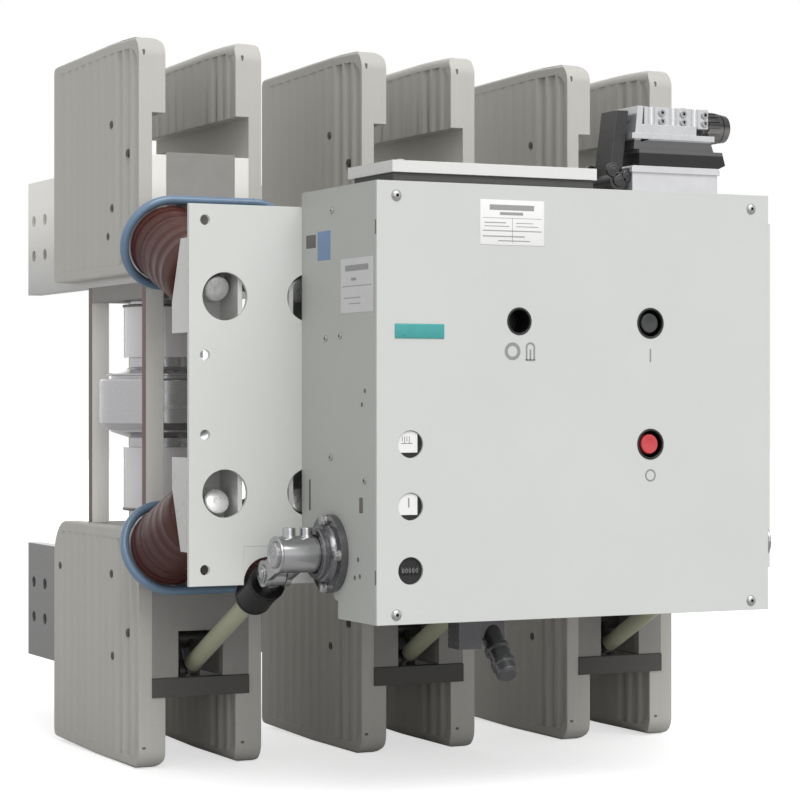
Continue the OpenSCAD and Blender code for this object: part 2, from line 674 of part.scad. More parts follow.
// Places children with +Z along a coupling rod, from the lever pin
module on_rod() translate([0, lever_pin_at[0], lever_pin_at[1]]) rotate([rod_angle - 90, 0, 0]) children();
cap_start = 22;
cap_len = 46;
module coupling_rod(k) color([0.60, 0.60, 0.48]) at_pole(k) on_rod()
  translate([0, 0, cap_start + cap_len]) cylinder(d = rod_d, h = rod_len - cap_start - cap_len - 24);
module rod_cap(k) color([0.09, 0.09, 0.09]) at_pole(k) on_rod()
  translate([0, 0, cap_start]) cylinder(d = rod_cap_d, h = cap_len);
module rod_eyes(k) color([0.66, 0.66, 0.67]) at_pole(k) {
  eye = fork_gap - 2 * play;
  x_rod(lever_pin_at, pin_d, fork_gap + 2 * fork_t + 6);
  on_rod() {
    intersection() {
      cylinder(d = 26, h = cap_start);
      cube([eye, 40, 2 * cap_start], center = true);
    }
    rotate([0, 90, 0]) cylinder(d = 26, h = eye, center = true);
    translate([0, 0, rod_len]) rotate([0, 90, 0]) cylinder(d = 22, h = 10, center = true);
    translate([0, 0, rod_len]) rotate([0, 90, 0]) cylinder(d = 10, h = 30, center = true);
    translate([-5, -9, rod_len - 24]) cube([10, 18, 24]);
  }
}
slot_d = 18;
module bell_crank(k) color([0.30, 0.29, 0.29]) at_pole(k) {
  difference() {
    both_x() translate([5 + play + 3, 0, 0]) arm(crank_at, rod_pin_at, 28, 6);
    x_rod(rod_pin_at, slot_d, 60);
  }
  arm(crank_at, [tube_y, crank_at[1]], 20, 10);
  x_rod(crank_at, 24, 2 * (bar_in - casting_wall - play));
  x_rod(crank_at, pin_d, 2 * bar_in);
}

for (i = [0 : 2]) {
  k = i - 1;
  n = str("_", i + 1);
  insulators(k);
  heat_sinks(k);
  terminals(k);
  upper_support(k);
  lower_support(k);
  interrupter_ceramics(k);
  interrupter_metal(k);
  coupling_rod(k);
  rod_cap(k);
  rod_eyes(k);
  bell_crank(k);
}
mounting_plate();
insulator_seats();
shield_rings();
struts();
main_shaft();
shaft_bearings();
housing();
front_cover();
button_sleeves();
on_button();
off_button();
indicator_faces();
crank_socket();
top_tray();
plug_socket();
plug_seal();
plug_hood();
plug_lever();
cable_gland();
damper();
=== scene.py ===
"""Looks of a fixed three-pole vacuum circuit breaker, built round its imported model."""
import math

import bmesh
import bpy
from mathutils import Matrix, Vector


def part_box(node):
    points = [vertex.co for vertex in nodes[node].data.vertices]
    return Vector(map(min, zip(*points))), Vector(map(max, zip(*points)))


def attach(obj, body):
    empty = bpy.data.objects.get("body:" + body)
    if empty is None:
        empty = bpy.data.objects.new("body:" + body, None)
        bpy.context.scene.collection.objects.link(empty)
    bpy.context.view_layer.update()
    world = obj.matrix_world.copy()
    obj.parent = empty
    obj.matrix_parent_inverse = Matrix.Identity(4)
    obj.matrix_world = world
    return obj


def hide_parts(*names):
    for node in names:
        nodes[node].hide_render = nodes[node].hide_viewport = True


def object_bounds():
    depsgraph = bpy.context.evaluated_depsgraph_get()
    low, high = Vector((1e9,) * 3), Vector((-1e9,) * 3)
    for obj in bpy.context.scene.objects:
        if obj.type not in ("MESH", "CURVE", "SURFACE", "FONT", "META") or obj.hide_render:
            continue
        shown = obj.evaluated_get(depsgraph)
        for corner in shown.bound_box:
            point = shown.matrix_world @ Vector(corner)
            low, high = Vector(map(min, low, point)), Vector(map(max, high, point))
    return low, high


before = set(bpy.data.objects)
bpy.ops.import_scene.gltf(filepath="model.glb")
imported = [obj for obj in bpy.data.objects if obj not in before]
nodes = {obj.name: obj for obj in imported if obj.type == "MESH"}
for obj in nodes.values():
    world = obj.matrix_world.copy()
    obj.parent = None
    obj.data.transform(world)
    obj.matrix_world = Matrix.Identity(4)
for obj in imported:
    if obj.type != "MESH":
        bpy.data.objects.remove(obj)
cad_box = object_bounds()

# ---------------------------------------------------------------- heat sinks
# Two pairs of long aluminium extrusions on each pole, with shallow flutes along them.
# They stand on edge against the terminal bars, under a thin coat of grey, and are held
# by socket screws sunk in their outer faces.

POLE_PITCH = 275
POLES = {1: -POLE_PITCH, 2: 0, 3: POLE_PITCH}
SINK_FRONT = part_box("heat_sinks_2")[0].y
MID_HEIGHT = cad_box[1].z / 2


def spot(x, y, z):
    """A point of the drawing, in millimetres from the sinks' front and from mid-height."""
    return Vector((x / 1000, SINK_FRONT + y / 1000, MID_HEIGHT + z / 1000))


def srgb(*levels):
    """Linear colour from paint-chart levels of 0 to 255."""
    linear = [((v / 255 + 0.055) / 1.055) ** 2.4 if v > 10 else v / 255 / 12.92 for v in levels]
    return (*linear, 1)


# A Mix node's colour sockets, which share their names with its number sockets.
MIX_FROM, MIX_TO, MIX_COLOUR = 6, 7, 2


def finish(name, colour, rough, metal=0.0, mottle=0.05, patch=9, grain=900, relief=0.12,
           stretch=(1, 1, 1), ease=0.0008, worn=None, coat=0.0, gloss=0.5):
    """A painted, moulded or bare finish: cloudy colour, a fine grain, eased edges and their wear."""
    material = bpy.data.materials.new(name)
    material.use_nodes = True
    tree = material.node_tree
    shader = tree.nodes["Principled BSDF"]
    shader.inputs["Metallic"].default_value = metal
    shader.inputs["Specular IOR Level"].default_value = gloss
    shader.inputs["Coat Weight"].default_value = coat
    shader.inputs["Coat Roughness"].default_value = 0.12

    def node(kind, **settings):
        made = tree.nodes.new("ShaderNode" + kind)
        for key, value in settings.items():
            if key in made.inputs:
                made.inputs[key].default_value = value
            else:
                setattr(made, key, value)
        return made

    place = node("TexCoord")
    turn = node("Mapping", Scale=stretch)
    tree.links.new(place.outputs["Object"], turn.inputs["Vector"])
    cloud = node("TexNoise", Scale=patch, Detail=5.0, Roughness=0.6)
    fine = node("TexNoise", Scale=grain, Detail=3.0)
    for noise in (cloud, fine):
        tree.links.new(turn.outputs["Vector"], noise.inputs["Vector"])
    blend = node("Math", operation="MULTIPLY_ADD")
    tree.links.new(fine.outputs["Fac"], blend.inputs[0])
    blend.inputs[1].default_value = 0.35
    tree.links.new(cloud.outputs["Fac"], blend.inputs[2])

    tint = node("ValToRGB")
    base = srgb(*colour)
    tint.color_ramp.elements[0].position = 0.42
    tint.color_ramp.elements[0].color = tuple(c * (1 - mottle) for c in base[:3]) + (1,)
    tint.color_ramp.elements[1].position = 0.95
    tint.color_ramp.elements[1].color = tuple(min(1, c * (1 + mottle)) for c in base[:3]) + (1,)
    tree.links.new(blend.outputs[0], tint.inputs["Fac"])
    colour_out = tint.outputs["Color"]

    eased = node("Bevel", samples=4, Radius=ease)
    if worn:
        shape = node("NewGeometry")
        turned_by = node("VectorMath", operation="DOT_PRODUCT")
        tree.links.new(eased.outputs["Normal"], turned_by.inputs[0])
        tree.links.new(shape.outputs["Normal"], turned_by.inputs[1])
        rub = node("MapRange", **{"From Min": 0.985, "From Max": 0.86, "To Min": 0.0, "To Max": 0.55})
        tree.links.new(turned_by.outputs["Value"], rub.inputs["Value"])
        patchy = node("Math", operation="MULTIPLY")
        tree.links.new(rub.outputs["Result"], patchy.inputs[0])
        tree.links.new(cloud.outputs["Fac"], patchy.inputs[1])
        bare = node("Mix", data_type="RGBA")
        tree.links.new(patchy.outputs[0], bare.inputs["Factor"])
        tree.links.new(colour_out, bare.inputs[MIX_FROM])
        bare.inputs[MIX_TO].default_value = srgb(*worn)
        colour_out = bare.outputs[MIX_COLOUR]
    tree.links.new(colour_out, shader.inputs["Base Color"])

    sheen = node("MapRange", **{"From Min": 0.3, "From Max": 0.7, "To Min": max(0.03, rough - 0.07),
                                "To Max": rough + 0.07})
    tree.links.new(cloud.outputs["Fac"], sheen.inputs["Value"])
    tree.links.new(sheen.outputs["Result"], shader.inputs["Roughness"])
    bump = node("Bump", Strength=relief, Distance=0.0004)
    tree.links.new(fine.outputs["Fac"], bump.inputs["Height"])
    tree.links.new(eased.outputs["Normal"], bump.inputs["Normal"])
    tree.links.new(bump.outputs["Normal"], shader.inputs["Normal"])
    return material


def dress(material, *names):
    """Gives CAD nodes their finish, by name or by a name that ends in each pole's number."""
    for name in names:
        for full in [name] if name in nodes else [f"{name}_{k}" for k in POLES]:
            nodes[full].material_slots[0].material = material


def stand(at, direction, turn=0.0):
    """Matrix that stands a small part's own +Z at a point, along a direction."""
    aim = Vector(direction).to_track_quat("Z", "Y").to_matrix().to_4x4()
    return Matrix.Translation(at) @ aim @ Matrix.Rotation(turn, 4, "Z")


def turned(profile, steps=20, dark=None):
    """A lathe-turned part: (radius, height) points in millimetres spun round its own Z.
    Faces between the two radii named in dark take the second finish."""
    part = bmesh.new()
    line = [part.verts.new((r / 1000, 0, h / 1000)) for r, h in profile]
    edges = [part.edges.new(pair) for pair in zip(line, line[1:])]
    bmesh.ops.spin(part, geom=line + edges, cent=(0, 0, 0), axis=(0, 0, 1), dvec=(0, 0, 0),
                   angle=math.tau, steps=steps, use_merge=True)
    bmesh.ops.remove_doubles(part, verts=part.verts, dist=2e-6)
    bmesh.ops.recalc_face_normals(part, faces=part.faces)
    if dark:
        for face in part.faces:
            reach = face.calc_center_median().xy.length * 1000
            face.material_index = int(dark[0] <= reach < dark[1])
    return part


def stamp(onto, part, where):
    """Adds a copy of a small part to a bmesh, moved by a matrix."""
    scratch = bpy.data.meshes.new("scratch")
    part.to_mesh(scratch)
    scratch.transform(where)
    onto.from_mesh(scratch)
    bpy.data.meshes.remove(scratch)


def fit(name, shape, body, slot, *finishes, crease=35):
    """Makes the finished piece of a bmesh, which moves with a CAD body."""
    mesh = bpy.data.meshes.new(name)
    shape.to_mesh(mesh)
    shape.free()
    for material in finishes:
        mesh.materials.append(material)
    mesh.shade_smooth()
    mesh.set_sharp_from_angle(angle=math.radians(crease))
    piece = bpy.data.objects.new(name, mesh)
    bpy.context.scene.collection.objects.link(piece)
    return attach(piece, body)


def add_bar(onto, low, high, ease, steps):
    """Adds a bar between two corners of the drawing, its edges eased with a bevel."""
    low, high = spot(*low), spot(*high)
    part = bmesh.new()
    size = Matrix.Diagonal((*(high - low), 1))
    bmesh.ops.create_cube(part, size=1, matrix=Matrix.Translation((low + high) / 2) @ size)
    bmesh.ops.bevel(part, geom=part.edges[:], offset=ease / 1000, segments=steps, affect="EDGES",
                    profile=0.5, material=-1, clamp_overlap=True)
    stamp(onto, part, Matrix())
    part.free()


def cut(part, at, normal, **how):
    """Cuts a whole part along a plane."""
    bmesh.ops.bisect_plane(part, geom=part.verts[:] + part.edges[:] + part.faces[:],
                           plane_co=at, plane_no=normal, **how)


sink_grey = finish("sink_grey", (200, 198, 192), 0.62, mottle=0.05, patch=14, grain=420, relief=0.10,
                   stretch=(1, 1, 0.02), worn=(222, 221, 217), gloss=0.2)
# Painted shade: the near-black finish in the sockets and cross recesses of screw heads stands in for
# the shade inside them.
socket_shade = finish("socket_painted_shade", (38, 38, 40), 0.38, metal=0.6, mottle=0.2, patch=300, grain=2600,
                   relief=0.05)
# The sunk screws' dark grey is partly their steel and partly painted shade of the counterbores they sit
# in, which are not cut.
sunk_steel = finish("sunk_screws", (86, 85, 82), 0.42, metal=0.5, mottle=0.2, patch=300, grain=2600,
                    relief=0.05)

SINK_DEPTH, SINK_OUTER = 298, 74
CROWN_RISE, CROWN_Y = 7.5, 90
TOE_RISE, TOE_Y = 4, 150
BEND_FROM, BEND_LENGTH = 340, 46
CROWN_CUTS = (30, 60, 90, 120, 150, 190, 240)
FLUTE_FLOOR, FRONT_FLUTES, FLUTE_GAIN = 3.2, 76, 0.9


def sink_rise(y, z):
    """How far a point of a sink lies above the plain extrusion: the free ends are milled to
    a low crown, and the lower ends rise a little towards the rear; in millimetres."""
    share = min(1, max(0, (abs(z) - BEND_FROM) / BEND_LENGTH))
    if z < 0:
        return TOE_RISE * max(0, y - TOE_Y) / TOE_Y * share
    if y < CROWN_Y:
        return (CROWN_RISE - 2.5 * ((y - CROWN_Y) / CROWN_Y) ** 2) * share
    return (CROWN_RISE - 4 * (y - CROWN_Y) / (SINK_DEPTH - CROWN_Y)) * share


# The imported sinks, with their free ends crowned and the flutes by their front deepened.
for pole, middle in POLES.items():
    sinks = bmesh.new()
    sinks.from_mesh(nodes[f"heat_sinks_{pole}"].data)
    bmesh.ops.remove_doubles(sinks, verts=sinks.verts, dist=2e-6)
    for y in CROWN_CUTS:
        cut(sinks, spot(0, y, 0), (0, 1, 0), dist=1e-6)
    outer = max(abs(vert.co.x * 1000 - middle) for vert in sinks.verts)
    for vert in sinks.verts:
        x, y = vert.co.x * 1000 - middle, (vert.co.y - SINK_FRONT) * 1000
        z = (vert.co.z - MID_HEIGHT) * 1000
        depth = outer - abs(x)
        if 0.02 < depth < FLUTE_FLOOR and y < FRONT_FLUTES:
            vert.co.x -= math.copysign(depth * FLUTE_GAIN / 1000, x)
        vert.co.z += sink_rise(y, z) / 1000
    piece = fit(f"milled_sinks_{pole}", sinks, "base", "sink_aluminium", sink_grey, crease=24)
    evened = piece.modifiers.new("evened_normals", "WEIGHTED_NORMAL")
    evened.keep_sharp = True
    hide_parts(f"heat_sinks_{pole}")

SINK_SCREWS = {(93, 322): 0.3, (42, 285): 1.5, (91, 226): 0.3, (103, 194): 0,
               (276, -195): 0, (93, -194): 0.3, (42, -258): 1.5, (89, -288): 0.3}
sunk_screw = turned([(0, 0.05), (1.6, 0.05), (1.8, 0.6), (2.9, 0.6), (3.2, 0.1), (3.7, 0.1), (4.0, 0.3),
                     (4.5, 0.25), (4.7, 0), (4.7, -3), (0, -3)])
for pole, middle in POLES.items():
    screws = bmesh.new()
    for side in (-1, 1):
        for (y, z), depth in SINK_SCREWS.items():
            seat = spot(middle + side * (SINK_OUTER - depth), y, z)
            stamp(screws, sunk_screw, stand(seat, (side, 0, 0)))
    fit(f"sink_screws_{pole}", screws, "base", "sink_aluminium", sunk_steel)

# ---------------------------------------------------------------- keying slots
# Short blind slots milled in the sinks' front edges, near their free ends, where a
# fixture held them while the rebate was cut. They are thin bars just proud of the
# edges, dark with painted shade that stands in for the slots' depth.
slot_painted_shade = finish("slot_shadow", (112, 110, 106), 0.7, mottle=0.15, patch=200, relief=0.05)
slots = bmesh.new()
for middle in POLES.values():
    for side in (-1, 1):
        x = middle + (51 if side > 0 else -68)
        add_bar(slots, (x - 2.2, -0.15, 390.5), (x + 2.2, 4, 398.5), 2, 4)
        add_bar(slots, (x - 3.5, -0.15, -386.5), (x + 3.5, 4, -381), 2, 4)
fit("sink_keying_slots", slots, "base", "sink_aluminium", slot_painted_shade)

# ---------------------------------------------------------------- terminal bars
# Flat busbar-size blocks of cast aluminium, milled on their faces and drilled with four
# holes for the busbar's bolts. Painted light: they are coloured lighter towards the top, as if more
# light fell there.
terminal_silver = finish("terminal_silver", (132, 132, 131), 0.36, metal=0.3, mottle=0.07, patch=30,
                         grain=700, relief=0.06, stretch=(1, 0.06, 1), worn=(226, 225, 220))


def overlay(tree, amount, colour):
    """Lays a second colour over a finish by an amount of 0 to 1."""
    shader = tree.nodes["Principled BSDF"]
    mix = tree.nodes.new("ShaderNodeMix")
    mix.data_type = "RGBA"
    tree.links.new(amount, mix.inputs["Factor"])
    tree.links.new(shader.inputs["Base Color"].links[0].from_socket, mix.inputs[MIX_FROM])
    mix.inputs[MIX_TO].default_value = srgb(*colour)
    tree.links.new(mix.outputs[MIX_COLOUR], shader.inputs["Base Color"])


def recolour(material, axis, start, end, colour):
    """Changes a finish's colour gradually between two planes across an axis; in metres. Some uses paint
    light or shade.
    """
    tree = material.node_tree
    place = tree.nodes.new("ShaderNodeTexCoord")
    parts = tree.nodes.new("ShaderNodeSeparateXYZ")
    tree.links.new(place.outputs["Object"], parts.inputs[0])
    over = tree.nodes.new("ShaderNodeMapRange")
    over.inputs["From Min"].default_value = start
    over.inputs["From Max"].default_value = end
    tree.links.new(parts.outputs[axis], over.inputs["Value"])
    overlay(tree, over.outputs["Result"], colour)


# Painted light: the bars turn lighter between these heights, the upper ones pale and the lower ones
# duller.
recolour(terminal_silver, "Z", MID_HEIGHT + 0.09, MID_HEIGHT + 0.25, (242, 241, 236))
dress(terminal_silver, "terminals")

# ---------------------------------------------------------------- pole castings
# Sand-cast aluminium brackets at the top and foot of each pole, left with their cast
# skin; the beam across each foot is dark. Hexagon screws hold the bars and the sinks.
cast_grey = finish("cast_grey", (156, 154, 151), 0.66, mottle=0.07, patch=40, grain=1300, relief=0.3,
                   worn=(190, 188, 184), gloss=0.2)
recolour(cast_grey, "Z", MID_HEIGHT - 0.3055, MID_HEIGHT - 0.3065, (92, 91, 89))
bright_zinc = finish("bright_zinc", (176, 176, 174), 0.28, metal=0.85, mottle=0.06, ease=0.0003,
                     patch=220, grain=2400, relief=0.05, worn=(222, 222, 220))
dress(cast_grey, "upper_support", "lower_support")


def hexagon_screw(across, height, washer):
    """A hexagon head on its washer, with the chamfer of a forged head; sizes in millimetres."""
    part = turned([(0, -2), (washer / 2, -2), (washer / 2, 1.2), (washer / 2 - 0.3, 1.6), (0, 1.6)], 20)
    head = bmesh.new()
    bmesh.ops.create_cone(head, cap_ends=True, segments=6, radius1=across / 1732, radius2=across / 1732,
                          depth=height / 1000,
                          matrix=Matrix.Translation((0, 0, (1.6 + height / 2) / 1000)))
    top = max(head.faces, key=lambda face: face.calc_center_median().z)
    bmesh.ops.inset_region(head, faces=[top], thickness=across / 9000, depth=0)
    bmesh.ops.translate(head, verts=top.verts, vec=(0, 0, across / 16000))
    stamp(part, head, Matrix())
    head.free()
    return part


m8_screw = hexagon_screw(13, 5.5, 16)
casting_screws = bmesh.new()
for middle in POLES.values():
    for side in (-1, 1):
        seat = spot(middle + side * 50, 0, -120)
        stamp(casting_screws, m8_screw, stand(seat, (0, -1, 0), 0.3 * side))
fit("casting_screws", casting_screws, "base", "link_steel", bright_zinc)

# ---------------------------------------------------------------- vacuum interrupters
# Two glazed ceramic tubes with a spun steel arcing chamber brazed between them.
# The steel is brushed round; the glaze is smooth, with a faint cloudiness.
glaze = finish("white_glaze", (240, 238, 239), 0.16, mottle=0.02, patch=12, grain=300, relief=0.02,
               coat=0.6)
chamber_steel = finish("spun_steel", (186, 185, 187), 0.24, metal=0.85, mottle=0.03, patch=26,
                       grain=900, relief=0.012, stretch=(0.15, 0.15, 3), worn=(232, 232, 232))
dress(glaze, "interrupter_ceramics")
dress(chamber_steel, "interrupter_metal")

# Copper-nickel brazing rings where ceramic meets steel.
braze = finish("braze_ring", (120, 118, 116), 0.34, metal=0.8, mottle=0.15, patch=90, relief=0.1)
TUBE_Y = 117
for pole, middle in POLES.items():
    rings = bmesh.new()
    for seam in (end.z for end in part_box(f"interrupter_ceramics_{pole}")):
        collar = turned([(44, -1.6), (47.7, -1.6), (48.3, 0), (47.7, 1.6), (44, 1.6)], 48)
        stamp(rings, collar, Matrix.Translation((middle / 1000, SINK_FRONT + TUBE_Y / 1000, seam)))
    fit(f"braze_rings_{pole}", rings, "base", "chamber_steel", braze)

# ---------------------------------------------------------------- struts
# Flat bars of glass-fibre laminate that tie the castings together. Their broad faces
# are sanded pale; the sawn edges show the brown of the resin.


def laminate():
    """Pale laminate with faint fibres along it, brown on the faces that look sideways."""
    material = finish("strut_laminate", (254, 250, 243), 0.5, mottle=0.06, patch=10, grain=1200,
                      relief=0.15, stretch=(1, 1, 0.03))
    tree = material.node_tree
    place = tree.nodes.new("ShaderNodeTexCoord")
    parts = tree.nodes.new("ShaderNodeSeparateXYZ")
    tree.links.new(place.outputs["Normal"], parts.inputs[0])
    sideways = tree.nodes.new("ShaderNodeMath")
    sideways.operation = "ABSOLUTE"
    tree.links.new(parts.outputs["X"], sideways.inputs[0])
    edge = tree.nodes.new("ShaderNodeMapRange")
    edge.inputs["From Min"].default_value = 0.6
    edge.inputs["From Max"].default_value = 0.9
    tree.links.new(sideways.outputs[0], edge.inputs["Value"])
    overlay(tree, edge.outputs["Result"], (112, 92, 86))
    return material


dress(laminate(), "struts")

# ---------------------------------------------------------------- post insulators
# Stout posts of cast epoxy resin, dark brown and glossy from the mould, four to a
# pole, leaning from the castings to the mounting plate. Low round ribs run round them.
brown_resin = finish("brown_resin", (74, 36, 28), 0.34, mottle=0.12, patch=22, grain=500, relief=0.03,
                     worn=(120, 84, 74), gloss=0.3)
LEAN = math.radians(21)
FRAME_MID, BOLT_UP, BOLT_Y, INSULATOR_X = 11, 112.8, -169, 48.5
RING_Y, POST_LENGTH = -21, 123.2
RING_UP = BOLT_UP + (RING_Y - BOLT_Y) * math.tan(LEAN)
post_profile = [(0, -5), (42.4, -5), (43.4, -4), (43.4, 7), (42.2, 8.5)]
for rib in range(5):
    foot, reach = 11 + rib * 20.5, 42.8 - rib * 0.3
    post_profile += [(reach - 1.3, foot), (reach - 0.3, foot + 3), (reach, foot + 6),
                     (reach - 0.3, foot + 9), (reach - 1.3, foot + 12)]
post_profile += [(40.5, POST_LENGTH - 5), (38.5, POST_LENGTH - 1.4), (36, POST_LENGTH),
                 (0, POST_LENGTH)]
post = turned(post_profile, 64)
for pole, middle in POLES.items():
    posts = bmesh.new()
    for side in (-1, 1):
        for up in (-1, 1):
            at = spot(middle + side * INSULATOR_X, RING_Y, FRAME_MID + up * RING_UP)
            stamp(posts, post, stand(at, (0, -math.cos(LEAN), -up * math.sin(LEAN))))
    resin = fit(f"resin_posts_{pole}", posts, "base", "brown_resin", brown_resin, crease=50)
    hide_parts(f"insulators_{pole}")

# ---------------------------------------------------------------- shield rings
# Rolled aluminium tube welded into a long loop round each pair of insulators, painted
# light blue. It is clamped to its casting from behind.
ring_blue = finish("ring_blue", (108, 134, 160), 0.33, mottle=0.08, patch=16, grain=1500, relief=0.06,
                   worn=(176, 190, 204), coat=0.3)
dress(ring_blue, "shield_rings")

# ---------------------------------------------------------------- insulator seats
# Welded steel wedges behind the mounting plate, painted like it. A bright screw
# through each one clamps its insulator and is reached through the plate.
seat_paint = finish("seat_paint", (206, 207, 204), 0.3, mottle=0.04, patch=10, grain=1400, relief=0.06,
                    worn=(236, 236, 234), coat=0.4)
dress(seat_paint, "insulator_seats")
bolt_face = turned([(0, 0.5), (3.2, 0.5), (3.4, 0.9), (11.2, 0.9), (12.6, 0.2), (12.9, -2),
                    (0, -2)], 32)
bolt_white = finish("bolt_face", (226, 226, 224), 0.3, metal=0.35, mottle=0.03, patch=160, grain=1500,
                    relief=0.01)
bolts = bmesh.new()
for middle in POLES.values():
    for side in (-1, 1):
        for up in (-1, 1):
            at = spot(middle + side * INSULATOR_X, BOLT_Y, FRAME_MID + up * BOLT_UP)
            stamp(bolts, bolt_face, stand(at, (0, -math.cos(LEAN), -up * math.sin(LEAN))))
fit("seat_bolt_faces", bolts, "base", "link_steel", bolt_white)

# ---------------------------------------------------------------- mounting plate
# One wide steel sheet across all three poles, powder-coated light grey with a very
# fine orange-peel skin. The housing is bolted to its front, and the rod notches in its
# lower edge end in a round arch, which leaves the rods their room.
plate_paint = finish("plate_powder_coat", (216, 218, 214), 0.42, mottle=0.02, patch=5, grain=1600,
                     relief=0.14, worn=(232, 232, 230))
dress(plate_paint, "mounting_plate")

PLATE_FRONT, PLATE_BACK = ((edge.y - SINK_FRONT) * 1000 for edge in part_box("mounting_plate"))
NOTCH_HALF, NOTCH_TOP, ARCH_TOP, ARCH_INSET = 27, -149.3, -161, 0.2


def thicken(part, faces, way):
    """Extrudes flat faces of a part along a vector."""
    grown = bmesh.ops.extrude_face_region(part, geom=faces)
    raised = [piece for piece in grown["geom"] if isinstance(piece, bmesh.types.BMVert)]
    bmesh.ops.translate(part, verts=raised, vec=way)


arches = bmesh.new()
for middle in POLES.values():
    for side in (-1, 1):
        rim = [(middle, NOTCH_TOP), (middle + side * NOTCH_HALF, NOTCH_TOP)]
        for step in range(13):
            turn = math.radians(7.5 * step)
            rim.append((middle + side * NOTCH_HALF * math.cos(turn),
                        ARCH_TOP - NOTCH_HALF * (1 - math.sin(turn))))
        web = arches.faces.new([arches.verts.new(spot(x, PLATE_FRONT + ARCH_INSET, z)) for x, z in rim])
        thicken(arches, [web], (0, (PLATE_BACK - PLATE_FRONT - 2 * ARCH_INSET) / 1000, 0))
bmesh.ops.recalc_face_normals(arches, faces=arches.faces)
fit("notch_arches", arches, "base", "plate_paint", plate_paint)

# ---------------------------------------------------------------- drive housing
# Folded sheet-steel box that holds the spring drive, painted mid grey. Screws of the
# mechanism, small holes and slots show on its sides.
housing_paint = finish("housing_powder_coat", (190, 193, 188), 0.45, mottle=0.03, patch=6, grain=1600,
                       relief=0.14, worn=(214, 216, 212))
dress(housing_paint, "housing")
HALF_WIDTH = 235
side_screw = turned([(0, 0.7), (1.1, 0.7), (1.3, 1.5), (3.0, 1.4), (3.6, 0.9), (3.7, -1.5), (0, -1.5)],
                    16, dark=(0, 1.2))
# The small holes and slots are dark discs and bars on the sides: painted shade standing in for their
# depth.
side_hole = turned([(0, 0.12), (2.2, 0.12), (2.5, 0.22), (2.7, -1), (0, -1)], 16)
SIDE_SCREWS = [(-270, 203), (-290, 72), (-254, 70), (-267, -54), (-350, -76)]
SIDE_HOLES = [(-343, 1), (-350, 15), (-334, -157), (-338, -174), (-326, -176)]
SIDE_SLOTS = [((-229, 166), (-203, 181)), ((-346, -110), (-336, -93)), ((-377, 172), (-373, 188)),
              ((-377, -181), (-373, -165)), ((-216, -112), (-210, -78))]
side_fixings, side_holes = bmesh.new(), bmesh.new()
for side in (-1, 1):
    for y, z in SIDE_SCREWS:
        stamp(side_fixings, side_screw, stand(spot(side * HALF_WIDTH, y, z), (side, 0, 0)))
    for y, z in SIDE_HOLES:
        stamp(side_holes, side_hole, stand(spot(side * HALF_WIDTH, y, z), (side, 0, 0)))
    inner, outer = sorted((side * (HALF_WIDTH - 2), side * (HALF_WIDTH + 0.25)))
    for low, high in SIDE_SLOTS:
        add_bar(side_holes, (inner, *low), (outer, *high), 1.4, 2)
fit("housing_side_screws", side_fixings, "base", "link_steel", bright_zinc, socket_shade)
fit("housing_side_slots", side_holes, "base", "housing_grey", slot_painted_shade)

# ---------------------------------------------------------------- front cover
# Flat powder-coated sheet over the drive, with two push-buttons, the hole for the
# hand crank and three round windows. Domed screws hold its corners.
cover_paint = finish("cover_powder_coat", (210, 212, 209), 0.42, mottle=0.02, patch=5, grain=1600,
                     relief=0.14, worn=(232, 233, 231))
dress(cover_paint, "front_cover")
COVER_FRONT = -378
BUTTON_X, ON_Z, OFF_Z = 86, 87, -41
domed_screw = turned([(0, 1.1), (1.4, 1.1), (1.7, 2.6), (3.0, 2.4), (4.6, 1.6), (5.6, 0.6), (5.9, 0),
                      (5.9, -1), (0, -1)], 24, dark=(0, 1.6))
cover_screws = bmesh.new()
for x, z in ((-213, 212), (213, 212), (-213, -211), (213, -211)):
    stamp(cover_screws, domed_screw, stand(spot(x, COVER_FRONT, z), (0, -1, 0)))
fit("cover_screws", cover_screws, "base", "link_steel", bright_zinc, socket_shade)

# Pressed bezels round the two buttons and the crank hole.
bezel_black = finish("bezel_black", (28, 28, 30), 0.3, mottle=0.15, patch=120, grain=2000, relief=0.08,
                     worn=(70, 70, 72))
bezels = bmesh.new()
for (x, z), hole in (((BUTTON_X, ON_Z), 15.5), ((BUTTON_X, OFF_Z), 15.5), ((-72, ON_Z), 13.5)):
    ring = turned([(hole - 1.4, -2.5), (hole - 1.4, 0.3), (hole - 0.9, 0.7), (hole + 0.5, 0.7),
                   (hole + 0.9, 0.2), (hole + 0.9, -0.2), (hole - 0.1, -0.2), (hole - 0.1, -2.5),
                   (hole - 1.4, -2.5)], 48)
    stamp(bezels, ring, stand(spot(x, COVER_FRONT, z), (0, -1, 0)))
fit("cover_bezels", bezels, "base", "black_plastic", bezel_black)

# ---------------------------------------------------------------- windows
# Each window looks on a white flag of the drive, or on a five-digit counter. The flags
# carry a plain printed sign; each is cut short at its right and lower edge so the near-black
# face behind shows there, as painted shade of the recess it stands in.
recess_painted_shade = finish("recess_painted_shade", (24, 24, 25), 0.6, mottle=0.2, patch=80, relief=0.05)
flag_white = finish("flag_white", (240, 240, 238), 0.4, mottle=0.02, patch=30, relief=0.04)
print_grey = finish("printed_grey", (150, 151, 148), 0.5, mottle=0.06, patch=200, relief=0.03)
# Painted shade: the near-black face behind the windows.
dress(recess_painted_shade, "indicator_faces")


def upright(x, y, z):
    """Matrix that stands a flat figure's own XY plane upright, facing the front."""
    return Matrix.Translation(spot(x, y, z)) @ Matrix.Rotation(math.pi / 2, 4, "X")


